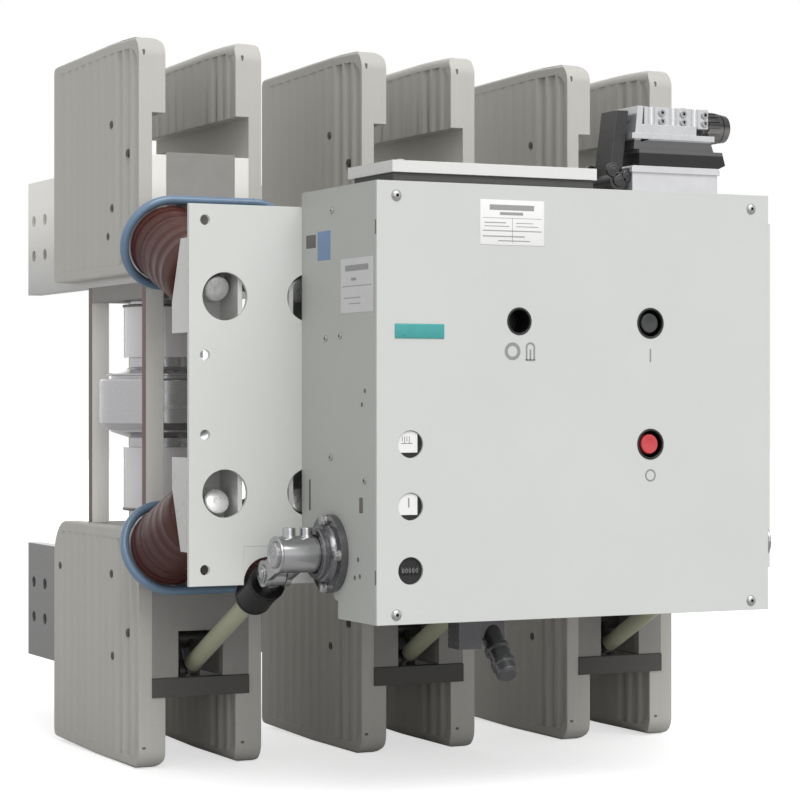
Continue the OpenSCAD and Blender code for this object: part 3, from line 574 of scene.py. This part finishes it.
WINDOW_X = -197
FLAG_HEIGHTS = (-39, -102)
FLAG_REACH = 0.0085
flags = bmesh.new()
for z in FLAG_HEIGHTS:
    flag = bmesh.new()
    bmesh.ops.create_circle(flag, cap_ends=True, segments=48, radius=0.0135)
    cut(flag, (FLAG_REACH, 0, 0), (1, 0, 0), clear_outer=True)
    cut(flag, (0, -FLAG_REACH, 0), (0, -1, 0), clear_outer=True)
    thicken(flag, flag.faces[:], (0, 0, 0.0012))
    bmesh.ops.recalc_face_normals(flag, faces=flag.faces)
    stamp(flags, flag, upright(WINDOW_X, COVER_FRONT + 3.1, z))
    flag.free()
fit("window_flags", flags, "base", "white_plastic", flag_white)

signs = bmesh.new()
SIGN_BACK, SIGN_FRONT = COVER_FRONT + 2.2, COVER_FRONT + 1.75
for step in range(4):
    x, foot = -206 + step * 2.6, -36 - step % 2 * 2.5
    add_bar(signs, (x, SIGN_FRONT, foot), (x + 1, SIGN_BACK, -31), 0.2, 1)
add_bar(signs, (-207, SIGN_FRONT, -38.6), (-194, SIGN_BACK, -37.6), 0.2, 1)
add_bar(signs, (-199.2, SIGN_FRONT, -103), (-197.4, SIGN_BACK, -93), 0.4, 1)
fit("window_signs", signs, "base", "white_plastic", print_grey)

# ---------------------------------------------------------------- operations counter
# Five number drums side by side behind the lowest window, moulded black, each with a
# printed figure on its face.
COUNTER_Z, DRUM_PITCH = -167, 4.4
drum_grey = finish("drum_grey", (32, 32, 33), 0.5, mottle=0.1, patch=200, relief=0.05)
drums = bmesh.new()
for place in range(-2, 3):
    x = WINDOW_X + place * DRUM_PITCH
    add_bar(drums, (x - 2, COVER_FRONT + 1.9, COUNTER_Z - 4), (x + 2, COVER_FRONT + 4, COUNTER_Z + 4),
            0.7, 3)
fit("counter_drums", drums, "base", "black_plastic", drum_grey)
figures = bpy.data.curves.new("figures", "FONT")
figures.body, figures.size, figures.extrude = "00000", 0.0062, 0.0001
figures.align_x = figures.align_y = "CENTER"
figures.space_character = 1.22
lettering = bpy.data.objects.new("figures", figures)
bpy.context.scene.collection.objects.link(lettering)
bpy.context.view_layer.update()
settled = lettering.evaluated_get(bpy.context.evaluated_depsgraph_get())
cut_figures = bpy.data.meshes.new_from_object(settled)
bpy.data.objects.remove(lettering)
cut_figures.transform(upright(WINDOW_X, COVER_FRONT + 1.85, COUNTER_Z))
digits = bmesh.new()
digits.from_mesh(cut_figures)
fit("counter_figures", digits, "base", "white_plastic", print_grey)

# ---------------------------------------------------------------- plates and labels
# A white rating plate with empty ruled boxes, a blank teal nameplate, a paper label
# on the left side and a blue sticker by the rear edge: all without any wording.
label_white = finish("label_white", (244, 244, 243), 0.35, mottle=0.015, patch=30, relief=0.03)
label_grey = finish("side_label", (222, 220, 222), 0.45, mottle=0.05, patch=40, relief=0.05)
rule_grey = finish("ruled_grey", (158, 159, 158), 0.5, mottle=0.08, patch=300, relief=0.02)
teal = finish("teal_plate", (62, 160, 158), 0.32, mottle=0.06, patch=90, relief=0.04,
              worn=(150, 214, 212), coat=0.3)
sticker_blue = finish("sticker_blue", (120, 150, 190), 0.4, mottle=0.06, patch=120, relief=0.03)
plate = bmesh.new()
add_bar(plate, (-118, COVER_FRONT - 0.6, 165), (-43, COVER_FRONT + 1, 211.5), 0.5, 2)
fit("rating_plate", plate, "base", "cover_light", label_white)
rules = bmesh.new()
for low, high in (((-107, 201), (-55, 206.5)), ((-95, 196), (-68, 199)), ((-115, 192.6), (-46, 193.1)),
                  ((-115, 179.2), (-46, 180.2)), ((-115, 173.4), (-66, 174.6)),
                  ((-80.7, 167.5), (-80.2, 193)), ((-113, 187.5), (-88, 188.5)),
                  ((-76, 187.5), (-56, 188.3)), ((-113, 184), (-84, 184.8)),
                  ((-76, 184), (-50, 184.8)), ((-97, 169), (-60, 170))):
    add_bar(rules, (low[0], COVER_FRONT - 0.7, low[1]), (high[0], COVER_FRONT, high[1]), 0.04, 1)
fit("rating_plate_rules", rules, "base", "cover_light", rule_grey)
nameplate = bmesh.new()
add_bar(nameplate, (-215, COVER_FRONT - 1.2, 68), (-159, COVER_FRONT + 1, 83), 1.1, 3)
fit("blank_nameplate", nameplate, "base", "cover_light", teal)
side_label = bmesh.new()
add_bar(side_label, (-HALF_WIDTH - 0.4, -369, 95), (-HALF_WIDTH + 1, -292, 151), 0.3, 1)
fit("side_label", side_label, "base", "cover_light", label_grey)
side_rules = bmesh.new()
for (y, z), (y_end, z_end) in (((-359, 138), (-303, 144)), ((-366, 122), (-296, 122.8)),
                               ((-340, 110), (-300, 111)), ((-340, 104), (-312, 105)),
                               ((-330, 128), (-318, 131))):
    add_bar(side_rules, (-HALF_WIDTH - 0.5, y, z), (-HALF_WIDTH, y_end, z_end), 0.04, 1)
fit("side_label_rules", side_rules, "base", "cover_light", rule_grey)
sticker = bmesh.new()
add_bar(sticker, (-HALF_WIDTH - 0.3, -266, 152), (-HALF_WIDTH + 1, -233, 183), 5, 4)
fit("blue_sticker", sticker, "base", "ring_blue", sticker_blue)

# Signs by the crank hole and the buttons: a plain ring, an arch, a stroke and a ring.
cover_signs = bmesh.new()


def sign_ring(x, z, outer, inner):
    """Prints a plain ring on the cover."""
    ring = turned([(inner, 0), (inner, 0.15), (outer, 0.15), (outer, 0), (inner, 0)], 40)
    stamp(cover_signs, ring, stand(spot(x, COVER_FRONT, z), (0, -1, 0)))


LOCK_X, LOCK_TOP = -59, 60
sign_ring(-80, 56, 9.2, 5.6)
sign_ring(BUTTON_X, -74, 6.6, 4.9)
for low, high in (((LOCK_X - 5.5, 47), (LOCK_X - 3.5, LOCK_TOP)),
                  ((LOCK_X + 3.5, 47), (LOCK_X + 5.5, LOCK_TOP)),
                  ((LOCK_X - 5.5, 46), (LOCK_X + 5.5, 48)), ((LOCK_X - 1, 47), (LOCK_X + 1, 58)),
                  ((BUTTON_X - 0.9, 46), (BUTTON_X + 0.9, 60))):
    add_bar(cover_signs, (low[0], COVER_FRONT - 0.15, low[1]), (high[0], COVER_FRONT + 0.3, high[1]),
            0.05, 1)
arch = turned([(3.5, 0), (3.5, 0.15), (5.5, 0.15), (5.5, 0), (3.5, 0)], 40)
cut(arch, (0, 0, 0), (0, -1, 0), clear_outer=True)
bmesh.ops.holes_fill(arch, edges=arch.edges[:])
stamp(cover_signs, arch, upright(LOCK_X, COVER_FRONT, LOCK_TOP))
fit("cover_signs", cover_signs, "base", "cover_light", print_grey)

# ---------------------------------------------------------------- push-buttons
# Moulded caps that slide in black sleeves behind the cover: a dark one to close the
# breaker and a red one to open it. Each has a shallow finger dish.
button_black = finish("button_black", (44, 48, 46), 0.34, mottle=0.1, patch=120, grain=1800,
                      relief=0.04, coat=0.5)
button_red = finish("button_red", (204, 62, 68), 0.28, mottle=0.08, patch=120, grain=1800, relief=0.04,
                    coat=0.5)
sleeve_black = finish("sleeve_black", (20, 20, 22), 0.45, mottle=0.15, patch=90, grain=1600, relief=0.1)
dress(button_black, "on_button")
dress(button_red, "off_button")
dress(sleeve_black, "button_sleeves", "crank_socket")
cap = turned([(0, 0.7), (5.5, 0.9), (8.4, 1.6), (9.6, 1.5), (10.3, 0.8), (10.45, -1.5), (0, -1.5)], 40)
for name, z, dye in (("on_button", ON_Z, button_black), ("off_button", OFF_Z, button_red)):
    dish = bmesh.new()
    stamp(dish, cap, stand(spot(BUTTON_X, COVER_FRONT + 3, z), (0, -1, 0)))
    fit(f"{name}_cap", dish, name, "button_dark" if name == "on_button" else "button_red", dye)

# ---------------------------------------------------------------- top tray
# Folded sheet tray on the housing's top, painted like the cover. A dark strip under its
# front lip is painted shadow, standing in for the shade in the gap there.
tray_paint = finish("tray_powder_coat", (228, 228, 226), 0.42, mottle=0.02, patch=5, grain=1600,
                    relief=0.12, worn=(240, 240, 238))
dress(tray_paint, "top_tray")
tray_screws = bmesh.new()
for x in (-200, 4):
    for y in (-360, -288):
        stamp(tray_screws, domed_screw, stand(spot(x, y, 248), (0, 0, 1)))
fit("tray_screws", tray_screws, "base", "link_steel", bright_zinc, socket_shade)
lip_shadow_grey = finish("lip_painted_shadow", (84, 84, 83), 0.8, mottle=0.12, patch=160, grain=2200, relief=0.3)
housing_top = (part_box("top_tray")[0].z - MID_HEIGHT) * 1000
# Painted shadow: a dark strip where the lip's shade falls.
seal = bmesh.new()
add_bar(seal, (-214.5, COVER_FRONT + 4, housing_top + 0.2), (18.5, -280, housing_top + 8.9), 0.8, 2)
fit("tray_lip_painted_shadow", seal, "base", "black_rubber", lip_shadow_grey)

# ---------------------------------------------------------------- control plug
# Heavy-duty multipole connector: a cast aluminium socket on the housing, a dark seal,
# a ribbed hood with clamp screws, a steel locking lever and a black cable gland.
plug_metal = finish("plug_die_cast", (206, 207, 209), 0.3, metal=0.6, mottle=0.05, patch=60, grain=1500,
                    relief=0.04, worn=(232, 233, 235))
socket_metal = finish("socket_die_cast", (214, 214, 216), 0.36, metal=0.35, mottle=0.04, patch=60,
                      grain=1500, relief=0.2, worn=(236, 236, 238))
seal_black = finish("seal_rubber", (15, 15, 16), 0.55, mottle=0.12, patch=80, grain=2200, relief=0.25)
lever_steel = finish("lever_steel", (70, 70, 71), 0.32, metal=0.7, mottle=0.15, patch=70, grain=1600,
                     relief=0.05, worn=(170, 170, 170))
gland_black = finish("gland_nylon", (22, 22, 24), 0.42, mottle=0.15, patch=80, grain=1800, relief=0.12,
                     worn=(60, 60, 62))
dress(socket_metal, "plug_socket")
dress(seal_black, "plug_seal")
dress(plug_metal, "plug_hood")
dress(lever_steel, "plug_lever")
dress(gland_black, "cable_gland")
hood_low, hood_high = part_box("plug_hood")
seal_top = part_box("plug_seal")[1].z
recolour(seal_black, "Z", seal_top - 0.0045, seal_top - 0.0035, (92, 92, 93))
recolour(plug_metal, "Z", hood_low.z + 0.0105, hood_low.z + 0.0095, (104, 104, 105))
clamp_screw = turned([(0, 1.0), (1.6, 1.0), (1.9, 2.8), (3.6, 2.8), (4.1, 2.3), (4.2, -1), (0, -1)], 20,
                     dark=(0, 1.8))
plug_screws = bmesh.new()
for x, z in ((108, 312), (135, 312), (162, 312), (108, 303), (135, 303), (162, 303)):
    seat = Vector((x / 1000, hood_low.y + 0.006, MID_HEIGHT + z / 1000))
    stamp(plug_screws, clamp_screw, stand(seat, (0, -1, 0)))
for x in (96, 148):
    seat = Vector((x / 1000, (hood_low.y + hood_high.y) / 2, hood_high.z))
    stamp(plug_screws, clamp_screw, stand(seat, (0, 0, 1)))
fit("plug_clamp_screws", plug_screws, "base", "link_steel", bright_zinc, socket_shade)

pivot = turned([(0, 3.2), (1.5, 3.2), (2, 2.4), (4.5, 2.4), (5, 1.8), (7.2, 1.8), (7.6, 1), (7.6, -2),
                (0, -2)], 24)
lever_low, lever_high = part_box("plug_lever")
pivots = bmesh.new()
for face, way in ((lever_low.y, -1), (lever_high.y, 1)):
    for x, z in ((54, 239), (63, 244), (46, 249)):
        stamp(pivots, pivot, stand(Vector((x / 1000, face, MID_HEIGHT + z / 1000)), (0, way, 0)))
fit("plug_lever_pivots", pivots, "base", "link_steel", lever_steel)

gland_low, gland_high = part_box("cable_gland")
gland_mid = Vector((gland_high.x, (gland_low.y + gland_high.y) / 2, (gland_low.z + gland_high.z) / 2))
# Painted light: the gland's lower half is coloured light grey, standing in for the light it catches
# there; the top stays black.
recolour(gland_black, "Z", gland_mid.z + 0.002, gland_mid.z - 0.003, (122, 120, 118))
cap_nut = turned([(0, 2), (6.5, 2), (6.9, 6.6), (9.6, 8), (12.8, 8), (14.8, 6.6), (15.6, 1), (15.6, -1),
                  (0, -1)], 32)
gland_ring = bmesh.new()
stamp(gland_ring, cap_nut, stand(gland_mid, (1, 0, 0)))
GRIP_RIBS = 16
for rib in range(GRIP_RIBS):
    round_nut = Matrix.Rotation(rib * math.tau / GRIP_RIBS, 4, "X")
    turn_by = Matrix.Translation(gland_mid - Vector((0.015, 0, 0))) @ round_nut
    grip = bmesh.new()
    size = Matrix.Diagonal((0.016, 0.0028, 0.0014, 1))
    bmesh.ops.create_cube(grip, size=1, matrix=Matrix.Translation((0, 0, 0.0166)) @ size)
    bmesh.ops.bevel(grip, geom=grip.edges[:], offset=0.0004, segments=2, affect="EDGES", profile=0.5,
                    material=-1)
    stamp(gland_ring, grip, turn_by)
fit("gland_grip_ribs", gland_ring, "base", "black_plastic", gland_black)

# ---------------------------------------------------------------- damper
# Small hydraulic damper of plated steel, screwed to a block under the housing. Its body
# leans towards the front.
damper_steel = finish("damper_steel", (92, 92, 94), 0.27, metal=0.8, mottle=0.06, patch=40, grain=1500,
                      relief=0.02, worn=(150, 150, 150))
dress(damper_steel, "damper")

# ---------------------------------------------------------------- main shaft
# Ground steel shaft across the housing, turning in flanged bearings on its sides,
# with a clamped forked lever for each pole. Cap screws close each lever's hub.
link_steel = finish("link_steel", (176, 176, 178), 0.17, metal=0.95, mottle=0.05, patch=60, grain=1400,
                    relief=0.012, stretch=(0.2, 1, 1), worn=(226, 226, 226))
bearing_steel = finish("bearing_steel", (122, 121, 124), 0.24, metal=0.85, mottle=0.03, ease=0.0004,
                       patch=90, grain=1500, relief=0.02, worn=(190, 190, 190))
dress(link_steel, "main_shaft")
dress(bearing_steel, "shaft_bearings")
SHAFT_Y, SHAFT_Z = -270, -154
HUB_RADIUS, SHAFT_END = 18.2, 302
HUB_SCREWS_X, GROOVES_X = (-9, 10), (251.5, 298.5)
BEARING_FACE, FLANGE_SCREW_RADIUS = 243, 35
hub_screw = turned([(0, 6.6), (2.8, 6.6), (3.2, 9.6), (5.9, 9.6), (6.7, 8.8), (6.9, 1.2), (8.2, 1.2),
                    (8.5, 0.5), (8.5, -4), (0, -4)], 24, dark=(0, 2.4))
hub_screws = bmesh.new()
for middle in POLES.values():
    for x in HUB_SCREWS_X:
        stamp(hub_screws, hub_screw, stand(spot(middle + x, SHAFT_Y, SHAFT_Z + HUB_RADIUS), (0, 0, 1)))
fit("hub_clamp_screws", hub_screws, "main_shaft", "link_steel", link_steel, socket_shade)

grooves = bmesh.new()
groove = turned([(19.05, -1.2), (19.4, -0.7), (19.4, 0.7), (19.05, 1.2), (18.6, 1.2), (18.6, -1.2),
                 (19.05, -1.2)], 40)
end_cap = turned([(0, 0.9), (3.4, 0.9), (3.8, 0.3), (8.5, 0.3), (9, 1.1), (12.6, 1.1), (13.6, 0.2),
                  (13.9, -1), (0, -1)], 40)
for side in (-1, 1):
    for x in GROOVES_X:
        stamp(grooves, groove, stand(spot(side * x, SHAFT_Y, SHAFT_Z), (1, 0, 0)))
    stamp(grooves, end_cap, stand(spot(side * SHAFT_END, SHAFT_Y, SHAFT_Z), (side, 0, 0)))
fit("shaft_end_rings", grooves, "main_shaft", "link_steel", link_steel)

# The bearing's stepped collar, turned in one with its flange, and the flange's screws.
collar = turned([(20.2, 0), (20.2, 12.5), (25.6, 12.5), (26.6, 11.4), (26.6, 7), (29.4, 6), (29.8, 1.6),
                 (31, -0.3), (20.2, -0.3), (20.2, 0)], 56)
collars = bmesh.new()
for side in (-1, 1):
    stamp(collars, collar, stand(spot(side * BEARING_FACE, SHAFT_Y, SHAFT_Z), (side, 0, 0)))
fit("bearing_collars", collars, "base", "link_steel", bearing_steel)
flange_screw = hexagon_screw(9.5, 4, 12)
flange_screws = bmesh.new()
for side in (-1, 1):
    for bolt in range(4):
        angle = math.radians(90 * bolt)
        y = SHAFT_Y + FLANGE_SCREW_RADIUS * math.sin(angle)
        z = SHAFT_Z + FLANGE_SCREW_RADIUS * math.cos(angle)
        stamp(flange_screws, flange_screw, stand(spot(side * BEARING_FACE, y, z), (side, 0, 0), 0.4))
fit("bearing_flange_screws", flange_screws, "base", "link_steel", bright_zinc)

# ---------------------------------------------------------------- lever pins
# Each coupling rod hangs on a cross pin in its lever's fork, kept by a washer and a
# spring ring at both ends. The pin turns with the rod.
PIN, FORK_HALF = (-212.51, -177.23), 14.7
washer = turned([(4, -0.2), (4, 1.6), (9.4, 1.6), (9.9, 1.2), (9.9, -0.2), (4, -0.2)], 32)
spring_ring = turned([(3.8, 1.7), (3.8, 2.6), (6.6, 2.6), (6.9, 2.3), (6.9, 1.7), (3.8, 1.7)], 32)
pin_head = turned([(0, 3.6), (3.6, 3.6), (4.4, 3.1), (5, 2.4), (5, -0.5), (0, -0.5)], 32)
for pole, middle in POLES.items():
    hardware = bmesh.new()
    for side in (-1, 1):
        seat = spot(middle + side * FORK_HALF, *PIN)
        for part in (washer, spring_ring, pin_head):
            stamp(hardware, part, stand(seat, (side, 0, 0)))
    fit(f"pin_rings_{pole}", hardware, f"rod_{pole}", "link_steel", link_steel)

# ---------------------------------------------------------------- coupling rods
# Glass-fibre rods, olive and finely ground along their length, each in a black moulded
# cap towards its lever and with a steel eye at both ends.
ROD_FOOT = (46, -304)
CAP_ENDS = (0.0225, 0.0675)
along_rod = (spot(0, *ROD_FOOT) - spot(0, *PIN)).normalized()
rod_olive = finish("rod_olive", (182, 184, 158), 0.42, mottle=0.07, patch=34, grain=900, relief=0.14,
                   stretch=(1, 0.35, 0.35), worn=(178, 180, 156))
cap_black = finish("cap_black", (17, 17, 18), 0.34, mottle=0.18, patch=70, grain=1300, relief=0.14,
                   worn=(64, 64, 68), coat=0.1, gloss=0.3)
dress(rod_olive, "coupling_rod")
dress(cap_black, "rod_cap")
dress(link_steel, "rod_eyes")
for pole, middle in POLES.items():
    pin = spot(middle, *PIN)
    lips = bmesh.new()
    cap_low, cap_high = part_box(f"rod_cap_{pole}")
    radius = (cap_high.x - cap_low.x) * 500
    lip = turned([(radius - 1.5, -0.4), (radius - 1.5, 1.2), (radius + 0.2, 2), (radius + 0.7, 3.4),
                  (radius + 0.2, 4.8), (radius - 0.5, 5), (radius - 1.5, -0.4)], 40)
    stamp(lips, lip, stand(pin + along_rod * CAP_ENDS[0], along_rod))
    stamp(lips, lip, stand(pin + along_rod * CAP_ENDS[1], -along_rod))
    fit(f"cap_lips_{pole}", lips, f"rod_{pole}", "black_plastic", cap_black)

# ---------------------------------------------------------------- bell cranks
# Pairs of steel plates that turn the rod's pull into the contact's lift, blackened and
# lightly oiled, on a pivot pin through the lower casting.
crank_dark = finish("crank_phosphated", (84, 82, 80), 0.4, metal=0.5, mottle=0.16, patch=60, grain=1300,
                    relief=0.14, worn=(130, 128, 126))
dress(crank_dark, "bell_crank")
CRANK_PIVOT, CRANK_HALF = (63.61, -268.09), 22
pivot_heads = bmesh.new()
head = turned([(0, 3), (2.8, 3), (3.2, 2.2), (6.6, 2.2), (7.4, 1.4), (7.5, -0.6), (0, -0.6)], 28)
for middle in POLES.values():
    for side in (-1, 1):
        stamp(pivot_heads, head, stand(spot(middle + side * CRANK_HALF, *CRANK_PIVOT), (-side, 0, 0)))
fit("crank_pivot_heads", pivot_heads, "base", "link_steel", bright_zinc)

# ---------------------------------------------------------------- floor and light
# A pale studio floor under white surroundings. The main lamp is broad and stands high
# in front; a weaker one lights the fronts, a narrow one makes the glints on bare metal
# and one behind lifts the rear.
studio = bpy.data.worlds.new("studio")
bpy.context.scene.world = studio
studio.use_nodes = True
sky = studio.node_tree
background = sky.nodes["Background"]
background.inputs["Color"].default_value = (1, 1, 1, 1)
seen = sky.nodes.new("ShaderNodeLightPath")
straight = sky.nodes.new("ShaderNodeMath")
straight.operation = "MAXIMUM"
sky.links.new(seen.outputs["Is Camera Ray"], straight.inputs[0])
mirrored = sky.nodes.new("ShaderNodeMath")
mirrored.operation = "MAXIMUM"
sky.links.new(seen.outputs["Is Glossy Ray"], mirrored.inputs[0])
sky.links.new(seen.outputs["Is Transmission Ray"], mirrored.inputs[1])
sky.links.new(mirrored.outputs[0], straight.inputs[1])
level = sky.nodes.new("ShaderNodeMapRange")
level.inputs["To Min"].default_value = 0.46
level.inputs["To Max"].default_value = 1.0
sky.links.new(straight.outputs[0], level.inputs["Value"])
sky.links.new(level.outputs["Result"], background.inputs["Strength"])

floor_shape = bmesh.new()
bmesh.ops.create_grid(floor_shape, x_segments=1, y_segments=1, size=14)
bmesh.ops.translate(floor_shape, verts=floor_shape.verts, vec=(0, 0, -0.0005))
floor_mesh = bpy.data.meshes.new("floor")
floor_shape.to_mesh(floor_mesh)
floor_shape.free()
floor = bpy.data.objects.new("floor", floor_mesh)
bpy.context.scene.collection.objects.link(floor)
paper = bpy.data.materials.new("studio_paper")
paper.use_nodes = True
sheet = paper.node_tree
shader = sheet.nodes["Principled BSDF"]
shader.inputs["Base Color"].default_value = (0.62, 0.62, 0.62, 1)
shader.inputs["Roughness"].default_value = 0.9
shader.inputs["Specular IOR Level"].default_value = 0.1
shader.inputs["Emission Color"].default_value = (1, 1, 1, 1)
by_eye = sheet.nodes.new("ShaderNodeLightPath")
glow = sheet.nodes.new("ShaderNodeMapRange")
glow.inputs["To Max"].default_value = 0.62
sheet.links.new(by_eye.outputs["Is Camera Ray"], glow.inputs["Value"])
sheet.links.new(glow.outputs["Result"], shader.inputs["Emission Strength"])
floor_mesh.materials.append(paper)


def lamp(name, towards, spread, strength):
    """A broad, distant studio lamp that shines from a direction, in degrees of spread."""
    light = bpy.data.lights.new(name, "SUN")
    light.angle, light.energy = math.radians(spread), strength
    holder = bpy.data.objects.new(name, light)
    holder.rotation_euler = Vector(towards).to_track_quat("Z", "Y").to_euler()
    bpy.context.scene.collection.objects.link(holder)


lamp("key", (0, -0.65, 0.75), 40, 1.65)
lamp("front", (-0.1, -0.97, 0.14), 30, 0.3)
lamp("glint", (0.44, -0.58, 0.69), 18, 0.3)
lamp("rear", (0.45, 0.8, 0.3), 50, 0.6)

# ---------------------------------------------------------------- camera
# A long lens on a level tripod, well to the left of the front, at the height of the
# breaker's middle.
lens = bpy.data.cameras.new("camera")
lens.sensor_width, lens.lens, lens.shift_y = 36, 115.26, -0.001
lens.clip_end = 60
camera = bpy.data.objects.new("camera", lens)
camera.location = (-1.34186, SINK_FRONT - 2.69855, MID_HEIGHT + 0.00659)
camera.rotation_euler = (math.pi / 2, 0, math.radians(-26.02))
bpy.context.scene.collection.objects.link(camera)
bpy.context.scene.camera = camera
bpy.context.scene.view_settings.view_transform = "Standard"

bpy.context.view_layer.update()
